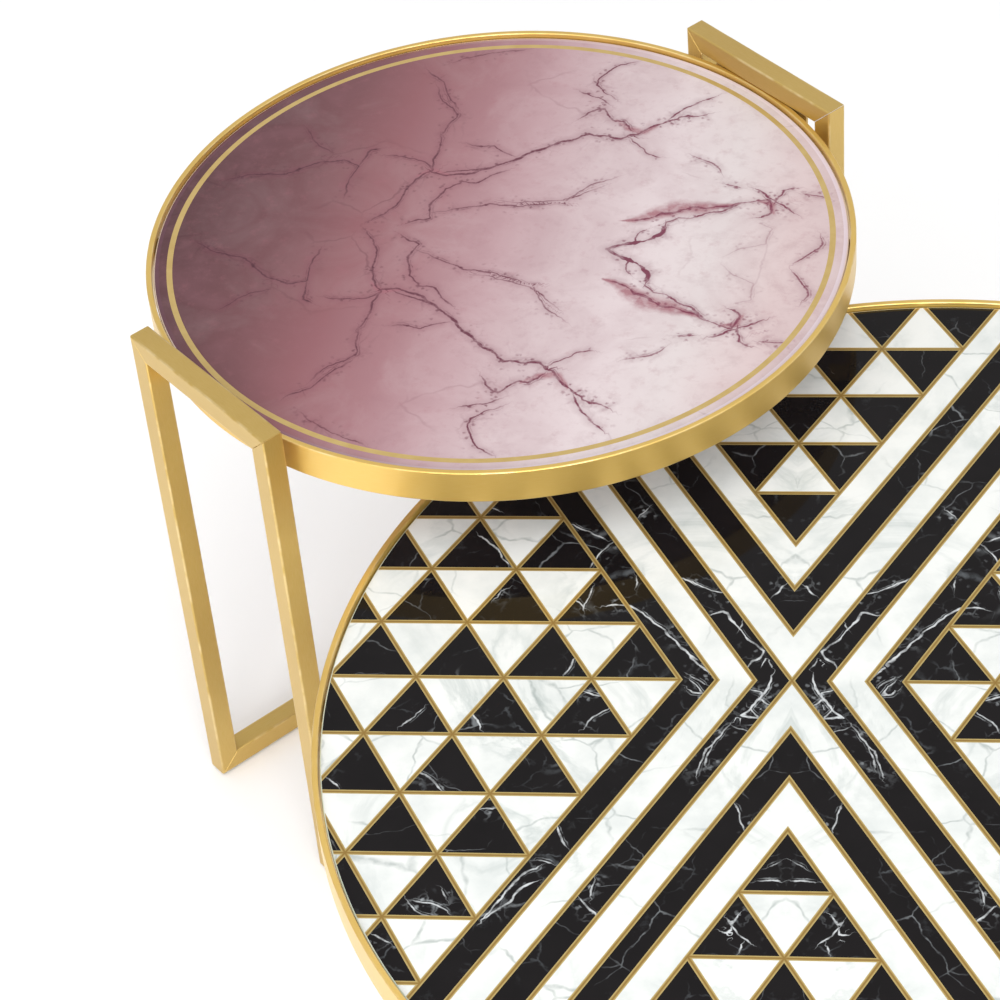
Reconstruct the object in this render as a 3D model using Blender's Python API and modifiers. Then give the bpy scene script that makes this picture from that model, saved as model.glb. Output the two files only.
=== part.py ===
# Set of two round nesting tables: a tall small one and a low wide one whose near edge tucks under it.
# +X is the nesting axis, from the tall table towards the low one. The floor is z = 0.

import bmesh
import bpy
from math import cos, pi, sin, sqrt
from mathutils import Matrix, Vector

# Square steel tube of the leg frames
tubeSide = 0.019
tubeWall = 0.0015
tubeCorner = 0.0015
pairWidth = 0.1836          # a leg pair, outer face to outer face
legOverlap = 0.004          # how far a top bar reaches in over the rim

# Flat-bar rim
rimHeight = 0.030
rimThickness = 0.005

# Tall table
tallRadius = 0.300
tallRimTop = 0.4963
tallGlassThickness = 0.006

# Low table
lowRadius = 0.480
lowRimTop = 0.4173
lowGlassThickness = 0.008

# Glass and what it lies on
glassDrop = 0.004           # glass face below the rim's top edge
glassClearance = 0.001      # between the glass and the rim
glassArris = 0.001
bumperRadius = 0.005
bumperHeight = 0.002
tabWidth = 0.022
tabReach = 0.018
tabFlange = 0.012
tabAngles = (pi / 4, 3 * pi / 4, 5 * pi / 4, 7 * pi / 4)

# Bracket and screws between rim and top bar
plateThickness = 0.003
bracketWidth = 0.116
bracketDepth = 0.010
bracketDrop = 0.018
screwSpacing = 0.024
screwBelowRim = 0.011
screwRadius = 0.0025
screwHeadRadius = 0.0046
screwHeadDepth = 0.0021
screwLength = 0.008
socketRadius = 0.0016
socketDepth = 0.0014
holeRadius = 0.0028
headClearance = 0.0004

# Floor glides
glideRadius = 0.007
glideHeight = 0.002

# Where the tables stand
tableDistance = 0.5975      # between the two centres, along the nesting axis
sidewaysShift = 0.0623      # the low table's centre off the tall one's axis

partGap = 0.0003            # between two pieces that touch
mitreGap = partGap / sqrt(2)
mergeDistance = 0.00005

rimSegments = {"tall": 96, "low": 128}
smallSegments = 16
legOuterReach = tubeSide - legOverlap
tallCentreX = (tallRadius - lowRadius - legOuterReach - tableDistance) / 2
tallCentre = Vector((tallCentreX, sidewaysShift, 0))
lowCentre = Vector((tallCentreX + tableDistance, 0, 0))


def clearScene():
    for sceneObject in list(bpy.data.objects):
        bpy.data.objects.remove(sceneObject, do_unlink=True)


def makeCollection(name):
    collection = bpy.data.collections.new(name)
    bpy.context.scene.collection.children.link(collection)
    return collection


def makeMaterial(name, color, roughness, metallic):
    material = bpy.data.materials.new(name)
    material.use_nodes = True
    shader = material.node_tree.nodes["Principled BSDF"]
    shader.inputs["Base Color"].default_value = (*color, 1)
    shader.inputs["Roughness"].default_value = roughness
    shader.inputs["Metallic"].default_value = metallic
    return material


def addPart(name, mesh, table, matrix, material):
    part = bpy.data.objects.new(name, mesh)
    parts.objects.link(part)
    part.parent = table
    part.matrix_local = matrix
    if not mesh.materials:
        mesh.materials.append(material)
    return part


def addCutter(name, mesh, table, matrix):
    cutter = bpy.data.objects.new(name, mesh)
    cutters.objects.link(cutter)
    cutter.parent = table
    cutter.matrix_local = matrix
    cutter.hide_render = True
    cutter.display_type = "WIRE"
    return cutter


def drill(part, cutter):
    cut = part.modifiers.new(cutter.name, "BOOLEAN")
    cut.operation = "DIFFERENCE"
    cut.solver = "EXACT"
    cut.object = cutter


def legFrame(side):
    # +X along the leg pair, +Y outward from the table's centre; side -1 is the pair opposite
    return Matrix.Rotation(0 if side > 0 else pi, 4, "Z")


def roundedSquare(side, radius, steps=3):
    points = []
    inset = side / 2 - radius
    for corner in range(4):
        middle = pi / 4 + corner * pi / 2
        centre = Vector((cos(middle), sin(middle))) * inset * sqrt(2)
        for step in range(steps):
            angle = middle + (step / (steps - 1) - 0.5) * pi / 2
            points.append(centre + Vector((cos(angle), sin(angle))) * radius)
    return points


def extrudedMesh(name, outlines, length):
    # A filled flat outline, extruded by half the length each way along Z
    curve = bpy.data.curves.new(name, "CURVE")
    curve.dimensions = "2D"
    curve.fill_mode = "BOTH"
    curve.extrude = length / 2
    for outline in outlines:
        spline = curve.splines.new("POLY")
        spline.points.add(len(outline) - 1)
        for point, place in zip(spline.points, outline):
            point.co = (place[0], place[1], 0, 1)
        spline.use_cyclic_u = True
    source = bpy.data.objects.new(name, curve)
    parts.objects.link(source)
    graph = bpy.context.evaluated_depsgraph_get()
    mesh = bpy.data.meshes.new_from_object(source.evaluated_get(graph))
    bpy.data.objects.remove(source)
    bpy.data.curves.remove(curve)
    shape = bmesh.new()
    shape.from_mesh(mesh)
    bmesh.ops.remove_doubles(shape, verts=shape.verts, dist=mergeDistance)
    bmesh.ops.recalc_face_normals(shape, faces=shape.faces)
    shape.to_mesh(mesh)
    shape.free()
    mesh.name = name
    return mesh


def tubeMesh(name, length, lowerMitre, upperMitre):
    # Hollow square tube along Z. Each end is cut at 45 degrees, its long side towards the given direction.
    outer = roundedSquare(tubeSide, tubeCorner)
    inner = roundedSquare(tubeSide - 2 * tubeWall, tubeCorner / 2)
    mesh = extrudedMesh(name, (outer, inner), length)
    for vertex in mesh.vertices:
        across = Vector(vertex.co[:2])
        isUpper = vertex.co.z > 0
        mitre = Vector(upperMitre if isUpper else lowerMitre)
        shift = tubeSide / 2 - across.dot(mitre) + mitreGap
        vertex.co.z += -shift if isUpper else shift
    return mesh


def turnedMesh(name, profile, steps, closed):
    # A profile in the XZ plane turned about Z; its outer side runs downwards
    mesh = bpy.data.meshes.new(name)
    points = [(radius, 0, height) for radius, height in profile]
    edges = [(index, index + 1) for index in range(len(points) - 1)]
    if closed:
        edges.append((len(points) - 1, 0))
    mesh.from_pydata(points, edges, [])
    source = bpy.data.objects.new(name, mesh)
    parts.objects.link(source)
    screw = source.modifiers.new("turn", "SCREW")
    screw.steps = steps
    screw.render_steps = steps
    screw.use_merge_vertices = True
    screw.merge_threshold = mergeDistance
    graph = bpy.context.evaluated_depsgraph_get()
    turned = bpy.data.meshes.new_from_object(source.evaluated_get(graph))
    bpy.data.objects.remove(source)
    bpy.data.meshes.remove(mesh)
    turned.name = name
    turned.shade_smooth()
    turned.set_sharp_from_angle(angle=pi / 6)
    return turned


def cylinderMesh(name, radius, height, segments, softening):
    shape = bmesh.new()
    bmesh.ops.create_cone(shape, cap_ends=True, segments=segments, radius1=radius, radius2=radius, depth=height)
    rims = [edge for edge in shape.edges if edge.calc_face_angle() > pi / 4]
    bmesh.ops.bevel(shape, geom=rims, offset=softening, segments=1, affect="EDGES")
    mesh = bpy.data.meshes.new(name)
    shape.to_mesh(mesh)
    shape.free()
    mesh.shade_smooth()
    mesh.set_sharp_from_angle(angle=pi / 6)
    return mesh


def angleMesh(name, width, plate, flange):
    # L section: the plate lies along +X under its top face z = 0, the flange hangs down at x = 0
    outline = ((0, 0), (plate, 0), (plate, -plateThickness), (plateThickness, -plateThickness),
               (plateThickness, -flange), (0, -flange))
    mesh = extrudedMesh(name, (outline,), width)
    mesh.transform(Matrix.Rotation(pi / 2, 4, "X"))
    return mesh


def screwProfile():
    return ((0, -socketDepth), (socketRadius, -socketDepth), (socketRadius, 0), (screwHeadRadius, 0),
            (screwRadius, -screwHeadDepth), (screwRadius, -screwLength), (0, -screwLength))


def holeProfile():
    mouth = screwHeadRadius + headClearance
    sink = screwHeadDepth + headClearance / 2
    return ((0, screwHeadDepth), (mouth, screwHeadDepth), (mouth, 0), (holeRadius, -sink),
            (holeRadius, -2 * screwLength), (0, -2 * screwLength))


def makeRim(prefix, table, radius, rimTop, screwPlaces):
    inner = radius - rimThickness
    bottom = rimTop - rimHeight
    profile = ((radius, rimTop), (radius, bottom), (inner, bottom), (inner, rimTop))
    mesh = turnedMesh(f"{prefix}_rim_band", profile, rimSegments[prefix], True)
    rim = addPart(f"{prefix}_rim_band", mesh, table, Matrix(), brass)
    hole = turnedMesh(f"{prefix}_screw_hole", holeProfile(), smallSegments, False)
    for index, place in enumerate(screwPlaces):
        drill(rim, addCutter(f"{prefix}_screw_hole_{index + 1}", hole, table, place))


def screwPlaces(radius, rimTop):
    # Each screw's +Z points at the table's centre, from its head's face just inside the rim's inner face
    headRadius = sqrt((radius - rimThickness) ** 2 - (screwSpacing / 2) ** 2) - partGap / 2
    places = []
    for side in (1, -1):
        for along in (-0.5, 0.5):
            spot = Matrix.Translation((along * screwSpacing, headRadius, rimTop - screwBelowRim))
            places.append(legFrame(side) @ spot @ Matrix.Rotation(pi / 2, 4, "X"))
    return places


def makeLegFrame(prefix, table, radius, rimTop, steel):
    innerFace = radius - legOverlap
    postRadius = innerFace + tubeSide / 2
    postOffset = (pairWidth - tubeSide) / 2
    bottom = glideHeight + partGap
    top = rimTop + partGap + tubeSide
    postHeight = top - bottom
    bar = tubeMesh(f"{prefix}_top_bar", pairWidth, (0, 1), (0, 1))
    layAlongX = Matrix.Rotation(pi / 2, 4, "Y") @ Matrix.Rotation(pi / 2, 4, "Z")
    # The bar's section +Y turns to world +Z
    for index, side in enumerate((1, -1)):
        spot = Matrix.Translation((0, postRadius, top - tubeSide / 2))
        addPart(f"{prefix}_top_bar_{index + 1}", bar, table, legFrame(side) @ spot @ layAlongX, steel)
    for hand, handName in ((-1, "left"), (1, "right")):
        post = tubeMesh(f"{prefix}_post_{handName}", postHeight, (0, 1), (hand, 0))
        for index, side in enumerate((1, -1)):
            spot = Matrix.Translation((hand * postOffset, postRadius, bottom + postHeight / 2))
            name = f"{prefix}_post_{index + 1}_{handName}"
            addPart(name, post, table, legFrame(side) @ spot, steel)
    railLength = 2 * (innerFace + tubeSide)
    rail = tubeMesh(f"{prefix}_floor_rail", railLength, (0, -1), (0, -1))
    layAlongY = Matrix.Rotation(pi / 2, 4, "Z") @ layAlongX
    for index, hand in enumerate((-1, 1)):
        spot = Matrix.Translation((hand * postOffset, 0, bottom + tubeSide / 2))
        addPart(f"{prefix}_floor_rail_{index + 1}", rail, table, spot @ layAlongY, steel)
    return postRadius, postOffset


def makeBrackets(prefix, table, radius, rimTop, steel):
    mesh = angleMesh(f"{prefix}_rim_bracket", bracketWidth, bracketDepth, bracketDrop)
    for index, side in enumerate((1, -1)):
        spot = Matrix.Translation((0, radius + partGap, rimTop))
        place = legFrame(side) @ spot @ Matrix.Rotation(pi / 2, 4, "Z")
        bracket = addPart(f"{prefix}_rim_bracket_{index + 1}", mesh, table, place, steel)
        for number in (1, 2):
            drill(bracket, bpy.data.objects[f"{prefix}_screw_hole_{2 * index + number}"])


def makeScrews(prefix, table, places, steel):
    mesh = turnedMesh(f"{prefix}_rim_screw", screwProfile(), smallSegments, False)
    for index, place in enumerate(places):
        addPart(f"{prefix}_rim_screw_{index + 1}", mesh, table, place, steel)


def makeGlass(prefix, table, radius, rimTop, thickness, glass):
    glassRadius = radius - rimThickness - glassClearance
    mesh = cylinderMesh(f"{prefix}_glass_top", glassRadius, thickness, rimSegments[prefix], glassArris)
    middle = rimTop - glassDrop - thickness / 2
    addPart(f"{prefix}_glass_top", mesh, table, Matrix.Translation((0, 0, middle)), glass)
    return rimTop - glassDrop - thickness


def makeSupports(prefix, table, radius, glassBottom, steel, silicone):
    tab = angleMesh(f"{prefix}_glass_tab", tabWidth, tabReach, tabFlange)
    bumper = cylinderMesh(f"{prefix}_bumper", bumperRadius, bumperHeight, smallSegments, bumperHeight / 5)
    chordDrop = radius - sqrt(radius ** 2 - (tabWidth / 2) ** 2)
    tabRadius = radius - rimThickness - chordDrop - partGap
    bumperTop = glassBottom - partGap
    tabTop = bumperTop - bumperHeight - partGap
    for index, angle in enumerate(tabAngles):
        turn = Matrix.Rotation(angle, 4, "Z")
        inward = Matrix.Translation((tabRadius, 0, tabTop)) @ Matrix.Rotation(pi, 4, "Z")
        addPart(f"{prefix}_glass_tab_{index + 1}", tab, table, turn @ inward, steel)
        spot = Matrix.Translation((tabRadius - tabReach / 2, 0, bumperTop - bumperHeight / 2))
        addPart(f"{prefix}_bumper_{index + 1}", bumper, table, turn @ spot, silicone)


def makeGlides(prefix, table, postRadius, postOffset, plastic):
    mesh = cylinderMesh(f"{prefix}_floor_glide", glideRadius, glideHeight, smallSegments, glideHeight / 5)
    number = 0
    for side in (1, -1):
        for hand in (-1, 1):
            number += 1
            spot = Matrix.Translation((hand * postOffset, postRadius, glideHeight / 2))
            addPart(f"{prefix}_floor_glide_{number}", mesh, table, legFrame(side) @ spot, plastic)


def makeTable(prefix, centre, turn, radius, rimTop, thickness, glass):
    table = bpy.data.objects.new(f"{prefix}_table_origin", None)
    parts.objects.link(table)
    table.matrix_world = Matrix.Translation(centre) @ Matrix.Rotation(turn, 4, "Z")
    places = screwPlaces(radius, rimTop)
    makeRim(prefix, table, radius, rimTop, places)
    postRadius, postOffset = makeLegFrame(prefix, table, radius, rimTop, brass)
    makeBrackets(prefix, table, radius, rimTop, brass)
    makeScrews(prefix, table, places, zincSteel)
    glassBottom = makeGlass(prefix, table, radius, rimTop, thickness, glass)
    makeSupports(prefix, table, radius, glassBottom, brass, silicone)
    makeGlides(prefix, table, postRadius, postOffset, glidePlastic)


clearScene()
parts = makeCollection("nesting_tables")
cutters = makeCollection("cutters")

brass = makeMaterial("satin brass", (0.60, 0.40, 0.12), 0.32, 1.0)
pinkGlass = makeMaterial("pink marble glass", (0.55, 0.27, 0.32), 0.05, 0.0)
patternGlass = makeMaterial("black and white marble glass", (0.40, 0.40, 0.40), 0.05, 0.0)
zincSteel = makeMaterial("zinc plated steel", (0.62, 0.62, 0.64), 0.35, 1.0)
silicone = makeMaterial("clear silicone", (0.75, 0.76, 0.76), 0.45, 0.0)
glidePlastic = makeMaterial("black glide plastic", (0.02, 0.02, 0.02), 0.55, 0.0)

# The tall table's leg pairs stand across the nesting axis, the low table's along it
makeTable("tall", tallCentre, 0, tallRadius, tallRimTop, tallGlassThickness, pinkGlass)
makeTable("low", lowCentre, pi / 2, lowRadius, lowRimTop, lowGlassThickness, patternGlass)
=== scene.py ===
from math import cos, pi, radians, sin, sqrt

import bpy
import numpy as np
from mathutils import Matrix, Vector


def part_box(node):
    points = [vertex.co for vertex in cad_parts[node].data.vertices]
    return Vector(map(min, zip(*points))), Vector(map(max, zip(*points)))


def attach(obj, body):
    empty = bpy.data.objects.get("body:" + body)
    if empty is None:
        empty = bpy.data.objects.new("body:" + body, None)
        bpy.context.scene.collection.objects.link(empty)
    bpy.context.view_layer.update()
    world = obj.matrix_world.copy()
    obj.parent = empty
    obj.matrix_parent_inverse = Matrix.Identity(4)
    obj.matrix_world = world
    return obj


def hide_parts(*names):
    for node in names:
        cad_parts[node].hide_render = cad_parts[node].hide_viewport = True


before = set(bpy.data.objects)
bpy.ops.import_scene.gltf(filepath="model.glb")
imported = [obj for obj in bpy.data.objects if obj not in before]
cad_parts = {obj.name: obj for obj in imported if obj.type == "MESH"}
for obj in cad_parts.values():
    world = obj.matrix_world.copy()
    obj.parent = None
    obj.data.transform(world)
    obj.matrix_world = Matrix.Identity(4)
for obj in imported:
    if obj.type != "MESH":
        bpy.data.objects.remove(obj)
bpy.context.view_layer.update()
print("frame loaded:", len(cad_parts), "parts")


# Shader maths
def tone(red, green, blue):
    # Screen colour 0-255 to the linear colour a shader wants
    channels = np.array((red, green, blue)) / 255
    linear = np.where(channels <= 0.04045, channels / 12.92, ((channels + 0.055) / 1.055) ** 2.4)
    return (*map(float, linear), 1.0)


inkGain = 0.77      # print colours against the studio light


def ink(red, green, blue):
    # A printed colour as it should look under this light
    return tuple(channel * inkGain for channel in tone(red, green, blue)[:3]) + (1.0,)


def mathMethod(operation, reflected=False):
    # A method that adds one Math node for two values
    if reflected:
        return lambda self, value: self.math(operation, value, self)
    return lambda self, value: self.math(operation, self, value)


class Wire:
    # One output socket; + - * / < > and abs() on it add Math nodes

    def __init__(self, tree, socket=None):
        self.tree = tree
        self.socket = socket

    def node(self, kind, settings=None, inputs=None, output=0):
        made = self.tree.nodes.new(kind)
        for key, value in (settings or {}).items():
            if key == "stops":
                ramp = made.color_ramp
                while len(ramp.elements) < len(value):
                    ramp.elements.new(0.5)
                for stop, (place, colour) in zip(ramp.elements, value):
                    stop.position = place
                    stop.color = colour
            else:
                setattr(made, key, value)
        for key, value in (inputs or {}).items():
            if isinstance(value, Wire):
                self.tree.links.new(value.socket, made.inputs[key])
            else:
                made.inputs[key].default_value = value
        return Wire(self.tree, made.outputs[output])

    def other(self, output):
        return Wire(self.tree, self.socket.node.outputs[output])

    def math(self, operation, *values, clamp=False):
        settings = {"operation": operation, "use_clamp": clamp}
        return self.node("ShaderNodeMath", settings, dict(enumerate(values)))

    __add__ = __radd__ = mathMethod("ADD")
    __sub__ = mathMethod("SUBTRACT")
    __rsub__ = mathMethod("SUBTRACT", reflected=True)
    __mul__ = __rmul__ = mathMethod("MULTIPLY")
    __truediv__ = mathMethod("DIVIDE")
    __rtruediv__ = mathMethod("DIVIDE", reflected=True)
    __lt__ = mathMethod("LESS_THAN")
    __gt__ = mathMethod("GREATER_THAN")
    least = mathMethod("MINIMUM")
    most = mathMethod("MAXIMUM")

    def __abs__(self):
        return self.math("ABSOLUTE", self)

    def fraction(self):
        return self.math("FRACT", self)

    def toWhole(self):
        # Distance to the nearest whole number
        return self.math("PINGPONG", self, 0.5)

    def soft(self, start, end):
        # 0 at start, 1 at end, clamped; start may be the larger
        return self.math("DIVIDE", self - start, end - start, clamp=True)

    def mix(self, first, second):
        # self is the factor between two colours
        settings = {"data_type": "RGBA", "clamp_factor": True}
        return self.node("ShaderNodeMix", settings, {0: self, 6: first, 7: second}, output=2)

    def pieces(self):
        split = self.node("ShaderNodeSeparateXYZ", inputs={0: self})
        return split, split.other(1), split.other(2)

    def noise(self, scale, detail=3.0, roughness=0.55, distortion=0.0, output=0):
        inputs = {"Vector": self, "Scale": scale, "Detail": detail,
                  "Roughness": roughness, "Distortion": distortion}
        return self.node("ShaderNodeTexNoise", None, inputs, output)

    def placed(self, location=(0, 0, 0), rotation=(0, 0, 0), scale=(1, 1, 1), kind="POINT"):
        inputs = {"Vector": self, "Location": location, "Rotation": rotation, "Scale": scale}
        return self.node("ShaderNodeMapping", {"vector_type": kind}, inputs)

    def stored(self, name, output="Fac"):
        # A value kept on the vertices
        return self.node("ShaderNodeAttribute", {"attribute_name": name}, output=output)

    def vector(self, operation, *values):
        return self.node("ShaderNodeVectorMath", {"operation": operation}, dict(enumerate(values)))


def newMaterial(name, fixed):
    # A Principled material; fixed holds what is the same all over the surface
    material = bpy.data.materials.new(name)
    material.use_nodes = True
    tree = material.node_tree
    shader = tree.nodes["Principled BSDF"]
    for key, value in fixed.items():
        shader.inputs[key].default_value = value
    start = Wire(tree)
    return material, start, start.node("ShaderNodeTexCoord", output="Object")


def connect(material, varying):
    tree = material.node_tree
    for key, wire in varying.items():
        tree.links.new(wire.socket, tree.nodes["Principled BSDF"].inputs[key])


def finished(material, colour, roughness, height, depth):
    # Colour, roughness and a fine bump of the given depth in metres
    bump = Wire(material.node_tree).node("ShaderNodeBump", None, {"Height": height, "Distance": depth})
    connect(material, {"Base Color": colour, "Roughness": roughness, "Normal": bump})
    return material


def layered(colour, *layers):
    # Each layer's colour is laid over the last by its mask
    for mask, over in layers:
        colour = mask.mix(colour, over)
    return colour


# Satin brass on tube, flat bar and angle
brassLook = {
    "body": (0.67, 0.450, 0.108, 1.0),
    "warm": (0.61, 0.398, 0.088, 1.0),
    # pale colour for brush streaks, and for the corners: partly rubbed wear, partly painted highlight
    "paleStreakWearAndHighlight": (0.88, 0.72, 0.42, 1.0),
    "fixed": {"Metallic": 0.86, "IOR": 1.5, "Coat Weight": 0.45, "Coat Roughness": 0.30},   # clear lacquer
    "roughness": 0.42,
    "grainPerMetre": 2600.0,        # brush strokes across the grain
    "grainStretch": 28.0,           # length of a stroke against its width
    "grainDepth": 0.00002,
    "longStretch": 160.0,           # the long strokes' length and width, in the same measure
    "longWidth": 3.0,
    "tubePaintedShade": 0.86,
    "bandPaintedLight": 1.14,              # painted light: the flat bar's copy is made brighter and the tube's darker, for how the light falls on them
}


def makeBrass(name, shade):
    # Plated steel brushed along the tube: strokes follow the piece's own UV map, which is in metres
    look = brassLook
    material, start, place = newMaterial(name, look["fixed"])
    # shade scales the colours: painted shade below 1 on the tubes, painted light above 1 on the rim band
    body, warm = (tuple(channel * shade for channel in look[key][:3]) + (1.0,) for key in ("body", "warm"))
    along = start.node("ShaderNodeUVMap", {"uv_map": "grain"})
    stroke = look["grainPerMetre"]
    strokes = along.placed(scale=(stroke / look["grainStretch"], stroke, 1)).noise(1.0, 2.0, 0.6)
    longStrokes = along.placed(scale=(stroke / look["longStretch"], stroke / look["longWidth"], 1))
    longStrokes = longStrokes.noise(1.0, 2.0, 0.5)
    cloud = place.noise(9.0, 3.0)
    handled = place.noise(34.0, 4.0, 0.6)
    # Rounded corners lighten in patches: part rubbed wear, part painted highlight along the edges
    rubbedAndHighlight = start.stored("edge") * handled.soft(0.42, 0.62)
    colour = layered(cloud.soft(0.32, 0.70).mix(warm, body),
                     (strokes.soft(0.30, 0.75) * 0.16, look["paleStreakWearAndHighlight"]),
                     (rubbedAndHighlight * 0.55, look["paleStreakWearAndHighlight"]))
    rough = look["roughness"] + (strokes - 0.5) * 0.16 + (handled - 0.5) * 0.10 - rubbedAndHighlight * 0.08
    height = strokes * 0.6 + longStrokes * 0.4
    return finished(material, colour, rough, height, look["grainDepth"])


# Zinc screws, silicone, glides, glass edge and backing
def makeZinc():
    material, _, place = newMaterial("zinc plated steel", {"Metallic": 1.0})
    spangle = place.node("ShaderNodeTexVoronoi", None, {"Vector": place, "Scale": 900.0}, "Color")
    grey = spangle.node("ShaderNodeRGBToBW", None, {0: spangle})
    colour = grey.mix(tone(168, 170, 174), tone(206, 207, 208))
    rough = 0.30 + grey * 0.18
    turned = place.noise(1800.0, 2.0)
    return finished(material, colour, rough, turned, 0.00002)


def makeSilicone():
    fixed = {"IOR": 1.41, "Subsurface Weight": 0.35, "Subsurface Scale": 0.002}
    material, _, place = newMaterial("clear silicone", fixed)
    dust = place.noise(1400.0, 4.0, 0.7)
    colour = dust.mix(tone(222, 224, 222), tone(240, 241, 239))
    return finished(material, colour, 0.34 + dust * 0.2, dust, 0.00003)


def makeGlidePlastic():
    material, _, place = newMaterial("black glide plastic", {"IOR": 1.5})
    grain = place.noise(2600.0, 3.0, 0.6)
    worn = place.noise(300.0, 3.0)
    colour = worn.soft(0.4, 0.7).mix(tone(24, 24, 25), tone(46, 46, 47))
    return finished(material, colour, 0.45 + grain * 0.25, grain, 0.00006)


def makeGlassEdge(name, colour, deepColour):
    # Ground and polished float glass, seen edge on: faint vertical grinding marks
    fixed = {"IOR": 1.52, "Coat Weight": 1.0, "Coat Roughness": 0.04}
    material, _, place = newMaterial(name, fixed)
    marks = place.placed(scale=(1200, 1200, 90)).noise(1.0, 2.0)
    wash = place.noise(14.0, 3.0)
    mixed = wash.soft(0.35, 0.65).mix(colour, deepColour)
    return finished(material, mixed, 0.10 + marks * 0.10, marks, 0.00002)


def makeBacking(name, colour, darker):
    # Lacquer rolled on the underside of the glass, with the roller's fine orange peel
    material, _, place = newMaterial(name, {"IOR": 1.5})
    peel = place.noise(420.0, 3.0, 0.6)
    cloud = place.noise(11.0, 3.0)
    speck = place.noise(1500.0, 2.0, 0.8).soft(0.66, 0.74)
    mixed = cloud.soft(0.3, 0.7).mix(colour, darker)
    mixed = (speck * 0.35).mix(mixed, tone(120, 118, 116))
    return finished(material, mixed, 0.46 + peel * 0.14, peel, 0.00008)


# Pink marble print of the tall table
pinkPrint = {
    "turn": radians(36.4),          # the print's axis from the nesting axis
    "wobble": (30.0, 4.0, 6.0),     # scale and detail of the veins' sideways drift, and its reach in mm
    "fineWobble": 2.2,
    "flutter": (62.0, 0.62),        # scale and threshold of the veins' coming and going
    "seed": 11,
    "ringInner": 0.2779,
    "ringOuter": 0.2829,
    "borderOuter": 0.2895,
    "gold": ink(226, 198, 130),
    "goldDeep": ink(198, 164, 94),
    "vein": ink(126, 58, 80),
    "veinDeep": ink(70, 30, 44),
    "washTone": ink(166, 106, 116),
    "ombre": ((0.00, (88, 56, 60)), (0.10, (104, 66, 71)), (0.20, (122, 79, 84)), (0.30, (149, 97, 103)),
              (0.40, (171, 125, 131)), (0.50, (196, 162, 167)), (0.60, (213, 191, 194)),
              (0.70, (226, 210, 212)), (0.80, (226, 214, 214)), (0.90, (220, 198, 198)),
              (1.00, (212, 188, 189))),
}


def veinWires(start):
    # Three families of veins, kept on the vertices: distance with a side, plain distance, half width
    parts = (start.stored(f"vein{part}", "Vector").pieces() for part in ("Side", "Near", "Wide"))
    return list(zip(*parts))


def veinDrift(mirrored, look):
    # How far the veins are pushed aside, in mm, and how their width comes and goes
    scale, detail, reach = look["wobble"]
    wobble = (mirrored.noise(scale, detail, 0.60) - 0.5) * reach
    wobble = wobble + (mirrored.noise(120.0, 2.0, 0.5) - 0.5) * look["fineWobble"]
    scale, full = look["flutter"]
    return wobble, 0.1 + mirrored.noise(scale, 3.0, 0.6).soft(0.36, full) * 1.3


def veinMask(families, wobble, flutter, reach, softness):
    # Strength of the nearest vein: 1 on its line, fading over softness (mm), broken up by flutter
    mask = None
    for side, near, wide in families:
        width = wide * flutter
        line = abs(side + wobble)
        stroke = 1 - (line - width).soft(0.0, softness)
        stroke = stroke * (wide * 2.2).least(1) * (1 - near.soft(reach * 0.6, reach))
        mask = stroke if mask is None else mask.most(stroke)
    return mask


def crackNet(place, scale, warpSize, thin, thick):
    # Edges of warped cells, as fine crossing hairlines; 1 on a line
    warp = place.noise(scale * 0.8, 4.0, 0.62, 0.0, "Color")
    warped = place.vector("MULTIPLY_ADD", warp, (warpSize, warpSize, 0), place)
    inputs = {"Vector": warped, "Scale": scale}
    cells = warped.node("ShaderNodeTexVoronoi", {"feature": "DISTANCE_TO_EDGE"}, inputs)
    return 1 - cells.soft(thin, thick)


def speckField(place, scale, share):
    # One small dot to a warped cell, kept in a share of the cells
    warp = place.noise(scale * 1.4, 2.0, 0.6, 0.0, "Color")
    warped = place.vector("MULTIPLY_ADD", warp, (0.004, 0.004, 0), place)
    dots = warped.node("ShaderNodeTexVoronoi", None, {"Vector": warped, "Scale": scale})
    kept, _, _ = dots.other("Color").pieces()
    return (1 - dots.soft(0.12, 0.34)) * (kept < share)


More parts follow.
